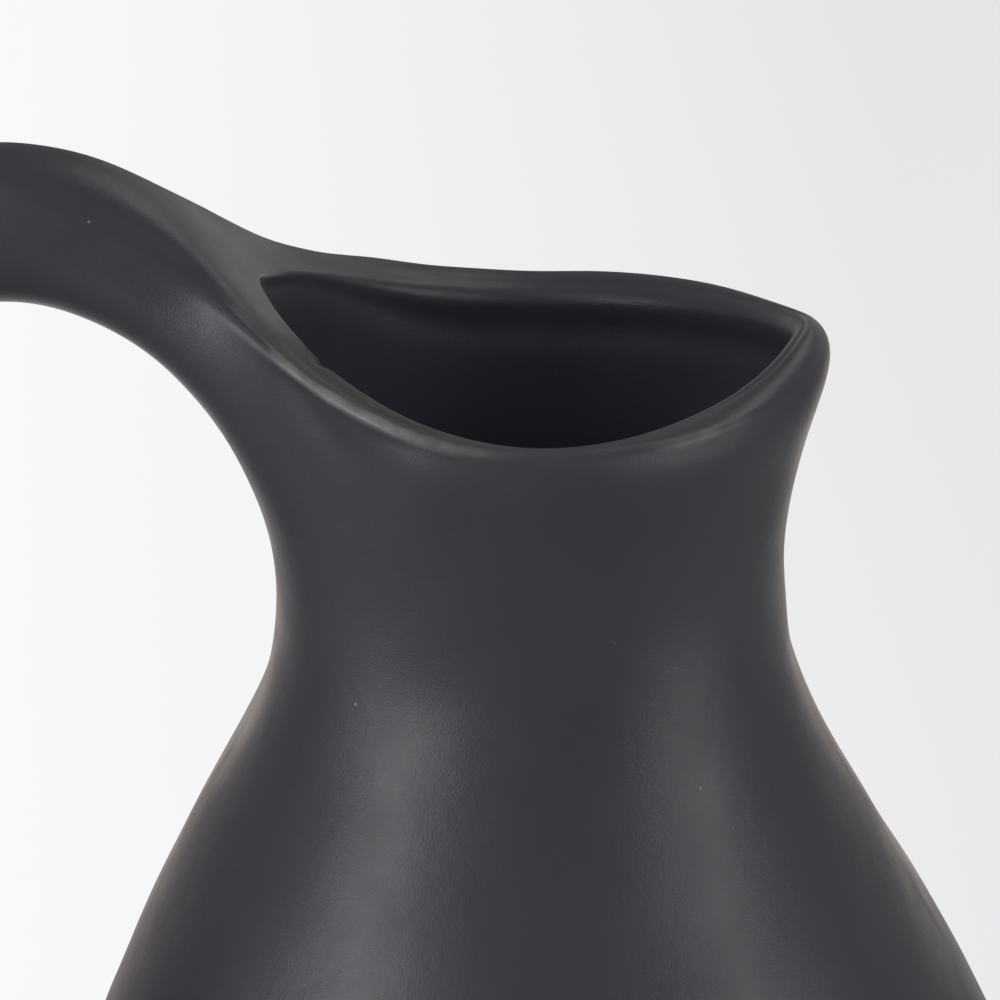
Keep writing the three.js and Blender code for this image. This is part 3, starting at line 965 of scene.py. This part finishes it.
def felt_pad(number):
    """One felt disc in the place of the frame's own."""
    name = f"felt_pad_{number}"
    low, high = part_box(f"foot_pad_{number}")
    centre = (low + high) / 2
    radius = (high.x - low.x) / 2 / MM
    tall = (high.z - low.z) / MM
    profile = [
        (radius * 0.45, 0.0),
        (radius * 0.8, 0.0),
        (radius - PAD_EDGE, 0.0),
        (radius - PAD_EDGE * 0.3, PAD_EDGE * 0.3),
        (radius - 0.02, PAD_EDGE),
        (radius, tall * 0.55),
        (radius - 0.03, tall - 0.12),
        (radius - 0.15, tall),
        (radius * 0.6, tall),
    ]
    points = [(0.0, 0.0, 0.0)]
    pad_loops = []
    for r, height in profile:
        tufts = 0.5 + 0.5 * np.sin(pad_turns * TUFTS_ROUND + height * TUFTS_UP + number)
        reach = r - PAD_FUZZ * tufts * (r > radius * FUZZ_FROM)
        pad_loops.append([len(points) + k for k in range(PAD_SEGMENTS)])
        points += list(zip(reach * np.cos(pad_turns), reach * np.sin(pad_turns), [height] * PAD_SEGMENTS))
    points.append((0.0, 0.0, tall))
    first, last = pad_loops[0], pad_loops[-1]
    polygons = [(0, after, here) for here, after in zip(first, first[1:] + first[:1])]
    for near, far in zip(pad_loops, pad_loops[1:]):
        polygons += faces_between(near, far)
    polygons += [(here, after, len(points) - 1) for here, after in zip(last, last[1:] + last[:1])]
    base = np.array([centre.x, centre.y, low.z])
    pad = add_object(name, mesh_from(name, np.array(points) * MM + base, polygons))
    stand_for(pad, f"foot_pad_{number}")
    return pad


pads = [felt_pad(number) for number in range(1, 5)]
print("felt pads:", len(pads))

# %% [markdown]
# ## Shared effects
# Glaze, bare clay and felt look different, but they share three effects: a fine grain that breaks up
# reflections, scattered flecks, and a slow cloudiness. Each is a node group, made once, that gives a
# number at every point of the surface, and each material places it with its own sizes. Sizes go in as
# millimetres, so the effects keep their scale on the real jug.

# %% Helpers for nodes
METRE_IN_MM = 1000.0


def feed(tree, socket, value):
    """Gives an input a number, a colour, or a link from another node's output."""
    if isinstance(value, bpy.types.NodeSocket):
        tree.links.new(value, socket)
    elif socket.type == "RGBA":
        socket.default_value = (*value, 1.0)
    else:
        socket.default_value = value


def add_node(tree, kind, inputs=None, **settings):
    """A new node with its settings and what its inputs get, and the list of its outputs."""
    node = tree.nodes.new(kind)
    for name, value in settings.items():
        setattr(node, name, value)
    for name, value in (inputs or {}).items():
        feed(tree, node.inputs[name], value)
    return node.outputs


def math_node(tree, operation, first, second=0.0):
    """Two outputs or numbers put together."""
    return add_node(tree, "ShaderNodeMath", {0: first, 1: second}, operation=operation)[0]


def map_range(tree, value, low, high, to_low=0.0, to_high=1.0):
    """A value stretched from one range to another and kept inside it."""
    limits = {"Value": value, "From Min": low, "From Max": high, "To Min": to_low, "To Max": to_high}
    return add_node(tree, "ShaderNodeMapRange", limits)["Result"]


def on_surface(tree):
    """Place on the object, which moves and scales with it."""
    return add_node(tree, "ShaderNodeTexCoord")["Object"]


def noise(tree, place, scale, detail, roughness):
    """Soft noise, around a half."""
    inputs = {"Vector": place, "Scale": scale, "Detail": detail, "Roughness": roughness}
    return add_node(tree, "ShaderNodeTexNoise", inputs)["Fac"]


# %% Build the three shared effects
def new_group(name, inputs, output):
    """An empty effect with number inputs and one number output."""
    group = bpy.data.node_groups.new(name, "ShaderNodeTree")
    for label, value in inputs.items():
        socket = group.interface.new_socket(label, in_out="INPUT", socket_type="NodeSocketFloat")
        socket.default_value = value
    group.interface.new_socket(output, in_out="OUTPUT", socket_type="NodeSocketFloat")
    return group, add_node(group, "NodeGroupInput"), group.nodes.new("NodeGroupOutput").inputs[output]


def build_grain():
    """Fine even noise, for bumps."""
    group, given, result = new_group("fine_grain", {"Size mm": 0.4}, "Height")
    scale = math_node(group, "DIVIDE", METRE_IN_MM, given["Size mm"])
    feed(group, result, noise(group, on_surface(group), scale, 2.0, 0.55))
    return group


def build_flecks():
    """Round flecks in a share of the cells of a grid that has no rows."""
    group, given, result = new_group("flecks", {"Spacing mm": 4.0, "Share": 0.1, "Radius": 0.1}, "Mask")
    scale = math_node(group, "DIVIDE", METRE_IN_MM, given["Spacing mm"])
    cells = add_node(group, "ShaderNodeTexVoronoi", {"Vector": on_surface(group), "Scale": scale})
    chance = add_node(group, "ShaderNodeSeparateColor", {"Color": cells["Color"]})["Red"]
    close = math_node(group, "LESS_THAN", cells["Distance"], given["Radius"])
    chosen = math_node(group, "LESS_THAN", chance, given["Share"])
    feed(group, result, math_node(group, "MULTIPLY", close, chosen))
    return group


def build_cloud():
    """Slow soft change from 0 to 1."""
    group, given, result = new_group("cloudiness", {"Size mm": 30.0}, "Amount")
    scale = math_node(group, "DIVIDE", METRE_IN_MM, given["Size mm"])
    feed(group, result, map_range(group, noise(group, on_surface(group), scale, 3.0, 0.5), 0.3, 0.7))
    return group


GRAIN = build_grain()
FLECKS = build_flecks()
CLOUD = build_cloud()
print("shared effects:", GRAIN.name, FLECKS.name, CLOUD.name)


# %% Helpers for materials
def new_material(name, **values):
    """A material with a Principled shader whose plain values are set on the shader itself."""
    material = bpy.data.materials.new(name)
    material.use_nodes = True
    shader = material.node_tree.nodes["Principled BSDF"]
    for label, value in values.items():
        shader.inputs[label.replace("_", " ")].default_value = value
    return material, material.node_tree, shader


def effect(tree, group, **inputs):
    """Places a shared effect in a material and gives its output."""
    values = {label.replace("_", " "): value for label, value in inputs.items()}
    return add_node(tree, "ShaderNodeGroup", values, node_tree=group)[0]


def mask(tree, label):
    """A mask that was written on the mesh."""
    return add_node(tree, "ShaderNodeAttribute", attribute_name=label)["Fac"]


def blend(tree, amount, first, second):
    """From a first colour to a second by an amount, or from a first number to a second number."""
    kind = "FLOAT" if isinstance(second, float) else "RGBA"
    socket_type = "VALUE" if kind == "FLOAT" else kind
    node = tree.nodes.new("ShaderNodeMix")
    node.data_type = kind
    feed(tree, node.inputs["Factor"], amount)
    ends = [socket for socket in node.inputs if socket.type == socket_type and socket.name in ("A", "B")]
    for socket, value in zip(ends, (first, second)):
        feed(tree, socket, value)
    return [socket for socket in node.outputs if socket.type == socket_type][0]


def add_bumps(tree, shader, *layers):
    """Bumps over each other, each a grain with a size and a real depth in mm."""
    inputs = {}
    for size, depth in layers:
        inputs |= {"Height": effect(tree, GRAIN, Size_mm=size), "Distance": depth * MM}
        inputs["Normal"] = add_node(tree, "ShaderNodeBump", inputs)["Normal"]
    feed(tree, shader.inputs["Normal"], inputs["Normal"])


# %% [markdown]
# ## Satin charcoal glaze
# The glaze is nearly black with a little blue in it, and satin: its reflections are wide and soft. Close
# up it has a fine grain and a faint orange peel, a few pale specks where gas came out, and a slow
# cloudiness in how satin it is. A plain dark colour with one roughness would look like plastic. At sharp
# edges the masks let the warm clay through and lighten it further as a painted highlight, the inside is
# a little paler as painted light that lifts its shade, on the rubbed flat of the lip the glaze is browner,
# rougher and scratched along the rim, and the land of the foot ring is bare.

# %% Make the charcoal glaze
CHARCOAL = (0.0302, 0.0314, 0.0368)
CHARCOAL_LIGHT = (0.0352, 0.0365, 0.0424)
# Thin glaze at sharp edges, painted light as a highlight on the lip's edges and ridges
THIN_GLAZE_AND_HIGHLIGHT = (0.17, 0.16, 0.148)
# Painted light: a paler colour that lifts the shade inside the jug
INSIDE_PAINTED_LIGHT = (0.062, 0.062, 0.083)
RUBBED = (0.026, 0.0245, 0.0195)
SCRATCH = (0.075, 0.07, 0.061)
PALE_SPECK = (0.2, 0.19, 0.175)
BARE_CLAY = (0.33, 0.265, 0.205)
SATIN_LOW = 0.37
SATIN_HIGH = 0.45
RUBBED_ROUGHNESS = 0.6
CLAY_ROUGHNESS = 0.88
THIN_AND_HIGHLIGHT_AT_LEAST = 0.4
RIM_TURN = math.radians(38.0)
SCRATCH_STRETCH = (90.0, 1500.0, 1500.0)
SCRATCH_RANGE = (0.58, 0.7)
# Size and depth in mm: the pull of the pour, the orange peel and the satin's own grain
GLAZE_BUMPS = ((9.0, 0.12), (2.4, 0.03), (0.4, 0.06))


def scratches(tree):
    """Thin lines along the near side of the rim, as a mask."""
    turn = {"Vector": on_surface(tree), "Angle": RIM_TURN}
    turned = add_node(tree, "ShaderNodeVectorRotate", turn, rotation_type="Z_AXIS")["Vector"]
    stretch = {0: turned, 1: SCRATCH_STRETCH}
    stretched = add_node(tree, "ShaderNodeVectorMath", stretch, operation="MULTIPLY")["Vector"]
    return map_range(tree, noise(tree, stretched, 1.0, 2.0, 0.5), *SCRATCH_RANGE)


def charcoal_glaze():
    """The satin glaze of the body and the handle."""
    material, tree, shader = new_material("charcoal_glaze")
    rubbed = mask(tree, "wiped_rim")
    bare_clay = mask(tree, "bare_clay")
    patchy = math_node(tree, "ADD", effect(tree, CLOUD, Size_mm=5.0), THIN_AND_HIGHLIGHT_AT_LEAST)
    # Thin glaze at sharp edges, with a painted highlight there
    thin_glaze_with_highlight = math_node(tree, "MULTIPLY", mask(tree, "thin_glaze_and_edge_highlight"), patchy)
    scratched = math_node(tree, "MULTIPLY", scratches(tree), rubbed)
    specks = effect(tree, FLECKS, Spacing_mm=8.0, Share=0.35, Radius=0.034)

    colour = blend(tree, effect(tree, CLOUD, Size_mm=34.0), CHARCOAL, CHARCOAL_LIGHT)
    for amount, over in (
        (mask(tree, "painted_light_inside"), INSIDE_PAINTED_LIGHT),
        (rubbed, RUBBED),
        (scratched, SCRATCH),
        (thin_glaze_with_highlight, THIN_GLAZE_AND_HIGHLIGHT),
        (specks, PALE_SPECK),
        (bare_clay, BARE_CLAY),
    ):
        colour = blend(tree, amount, colour, over)
    feed(tree, shader.inputs["Base Color"], colour)

    roughness = blend(tree, effect(tree, CLOUD, Size_mm=12.0), SATIN_LOW, SATIN_HIGH)
    roughness = blend(tree, rubbed, roughness, RUBBED_ROUGHNESS)
    feed(tree, shader.inputs["Roughness"], blend(tree, bare_clay, roughness, CLAY_ROUGHNESS))
    add_bumps(tree, shader, *GLAZE_BUMPS)
    return material


GLAZE = charcoal_glaze()
for piece in (body, handle):
    piece.data.materials.append(GLAZE)
print("glaze nodes:", len(GLAZE.node_tree.nodes))

# %% [markdown]
# ## Felt
# Pressed wool felt is a mat of short fibres, dull and a little lighter where they stand up. The same
# grain and cloudiness serve it, at a coarser size and a deeper bump, and sheen on the shader gives the
# soft light edge that a real nap has.

# %% Make the felt
FELT_DARK = (0.05, 0.044, 0.038)
FELT_LIGHT = (0.1, 0.09, 0.079)
LINT = (0.3, 0.28, 0.25)
# Size and depth in mm: the tufts and the single fibres
FELT_BUMPS = ((1.2, 0.1), (0.3, 0.12))


def felt():
    """The felt of the pads."""
    material, tree, shader = new_material("felt", Roughness=0.95, Sheen_Weight=0.35, Sheen_Roughness=0.6)
    colour = blend(tree, effect(tree, CLOUD, Size_mm=1.2), FELT_DARK, FELT_LIGHT)
    lint = effect(tree, FLECKS, Spacing_mm=1.1, Share=0.5, Radius=0.12)
    feed(tree, shader.inputs["Base Color"], blend(tree, lint, colour, LINT))
    add_bumps(tree, shader, *FELT_BUMPS)
    return material


FELT = felt()
for pad in pads:
    pad.data.materials.append(FELT)
print("felt nodes:", len(FELT.node_tree.nodes))

# %% [markdown]
# ## Floor
# A satin black jug shows its room. Behind it the picture is an even light grey that falls off a little
# to the right, and that same light floor is the warm line along the jug's two edges. The floor itself is
# a light grey that keeps a soft shadow. To the camera it is darker and glows by as much, so that the
# picture's grey comes out even. The glaze mirrors a warm patch of it, which starts behind the jug,
# widens with distance and fades out well before the floor's end.

# %% Lay the floor
FLOOR_HALF = 6.0
FLOOR_CORNERS = ((-1, -1), (1, -1), (1, 1), (-1, 1))
FLOOR_GREY = (0.55, 0.55, 0.55)
FLOOR_TO_CAMERA = (0.2, 0.2, 0.2)
# The glow that the camera sees, from this far left of the frame's middle to as far right, in metres
GRADIENT_HALF = 0.165
GREY_LEFT = 0.855
GREY_RIGHT = 0.7
# The patch that the glaze mirrors: where it starts and is full, its slant, and where it fades, in metres
MIRRORED = (1.2, 1.02, 0.88)
MIRRORED_RANGE = (0.0, 0.25)
MIRRORED_SLANT = 1.2
MIRRORED_FADE = (0.9, 1.7)

floor_points = [(x * FLOOR_HALF, y * FLOOR_HALF, 0.0) for x, y in FLOOR_CORNERS]
floor = add_object("floor", mesh_from("floor", floor_points, [(0, 1, 2, 3)]))


def split_axes(tree, place):
    """The x, y and z of a place or a direction."""
    return add_node(tree, "ShaderNodeSeparateXYZ", {"Vector": place})


def floor_material():
    """A grey floor that the camera and the glaze see lighter than it is."""
    values = {"Roughness": 0.9, "Specular_IOR_Level": 0.1, "Emission_Strength": 1.0}
    material, tree, shader = new_material("floor", **values)
    rays = add_node(tree, "ShaderNodeLightPath")
    x, y, _ = split_axes(tree, add_node(tree, "ShaderNodeNewGeometry")["Position"])
    base = blend(tree, rays["Is Camera Ray"], FLOOR_GREY, FLOOR_TO_CAMERA)
    feed(tree, shader.inputs["Base Color"], base)

    across = map_range(tree, x, -GRADIENT_HALF, GRADIENT_HALF, GREY_LEFT, GREY_RIGHT)
    seen = math_node(tree, "MULTIPLY", across, rays["Is Camera Ray"])
    grey = add_node(tree, "ShaderNodeCombineColor", {"Red": seen, "Green": seen, "Blue": seen})["Color"]
    aside = math_node(tree, "MULTIPLY", math_node(tree, "ABSOLUTE", x), MIRRORED_SLANT)
    behind = map_range(tree, math_node(tree, "SUBTRACT", y, aside), *MIRRORED_RANGE)
    patch = math_node(tree, "MULTIPLY", behind, map_range(tree, y, *reversed(MIRRORED_FADE)))
    mirrored = math_node(tree, "MULTIPLY", patch, rays["Is Glossy Ray"])
    feed(tree, shader.inputs["Emission Color"], blend(tree, mirrored, grey, MIRRORED))
    return material


floor.data.materials.append(floor_material())
print("floor reaches", FLOOR_HALF, "m each way")

# %% [markdown]
# ## Light
# The highlights say where the lamps were. A mirror direction worked out at each highlight points to a
# tall soft box at the left, another at the right, a weak one over the left side and a smaller one high
# at the back, on the spout's side. The front was dark. So four area lamps stand there, and a dim even
# world fills in. Straight behind the jug it is dimmer still, and low in the two corners behind it is
# bright, because the pale backdrop shows there as a light line along the jug's edges.

# %% Light the jug
LAMP_TARGET = Vector((0.0, 0.0, 0.2))
WORLD_DIM = (0.325, 0.325, 0.35)
WORLD_BEHIND = (0.16, 0.16, 0.17)
WORLD_LOW_CORNERS = (1.15, 1.08, 1.02)
WORLD_SEEN = (0.86, 0.86, 0.86)
# Parts of a direction's length: straight back, aside from the middle and up
BEHIND_RANGE = (0.6, 0.97)
CORNERS_ASIDE = (0.05, 0.3)
CORNERS_UP_TO = (0.14, 0.3)


def direction(azimuth, elevation):
    """Direction from the jug, at an angle to the right of the camera's side and an angle up."""
    turn = math.radians(azimuth)
    lift = math.radians(elevation)
    return Vector((math.sin(turn) * math.cos(lift), -math.cos(turn) * math.cos(lift), math.sin(lift)))


def soft_box(name, azimuth, elevation, distance, size, radiance, colour):
    """An area lamp that faces the jug and looks as bright as radiance says."""
    light = bpy.data.lights.new(name, "AREA")
    light.shape = "RECTANGLE"
    light.size, light.size_y = size
    light.color = colour
    light.energy = radiance * math.pi * size[0] * size[1]
    lamp = add_object(name, light)
    lamp.location = LAMP_TARGET + direction(azimuth, elevation) * distance
    lamp.rotation_euler = (LAMP_TARGET - lamp.location).to_track_quat("-Z", "Y").to_euler()
    lamp.visible_camera = False
    return lamp


def studio_world():
    """Dim light from all round, dimmer straight behind the jug and bright low in the corners behind it."""
    world = bpy.data.worlds.new("studio")
    world.use_nodes = True
    tree = world.node_tree
    x, y, z = split_axes(tree, add_node(tree, "ShaderNodeTexCoord")["Generated"])
    behind = map_range(tree, y, *BEHIND_RANGE)
    corner_side = map_range(tree, math_node(tree, "ABSOLUTE", x), *CORNERS_ASIDE)
    low_corner = math_node(tree, "MULTIPLY", map_range(tree, z, *reversed(CORNERS_UP_TO)), corner_side)
    backdrop = blend(tree, low_corner, WORLD_BEHIND, WORLD_LOW_CORNERS)
    lit = blend(tree, behind, WORLD_DIM, backdrop)
    seen = add_node(tree, "ShaderNodeLightPath")["Is Camera Ray"]
    feed(tree, tree.nodes["Background"].inputs["Color"], blend(tree, seen, lit, WORLD_SEEN))
    return world


scene.view_settings.view_transform = "Standard"
scene.world = studio_world()
# Name, azimuth, elevation, distance, width and height, radiance, colour
LAMPS = [
    ("left_box", -55.0, 11.0, 1.1, (0.58, 0.84), 4.0, (1.0, 0.98, 1.01)),
    ("left_ceiling", -45.0, 60.0, 1.3, (0.95, 0.6), 0.8, (1.0, 0.99, 1.02)),
    ("right_box", 65.0, 14.0, 1.1, (0.55, 0.98), 2.35, (1.0, 0.98, 1.01)),
    ("back_box", 145.0, 48.0, 1.1, (0.4, 0.45), 1.8, (1.0, 0.97, 0.94)),
]
lamps = [soft_box(*lamp) for lamp in LAMPS]
print("lamps:", len(lamps))
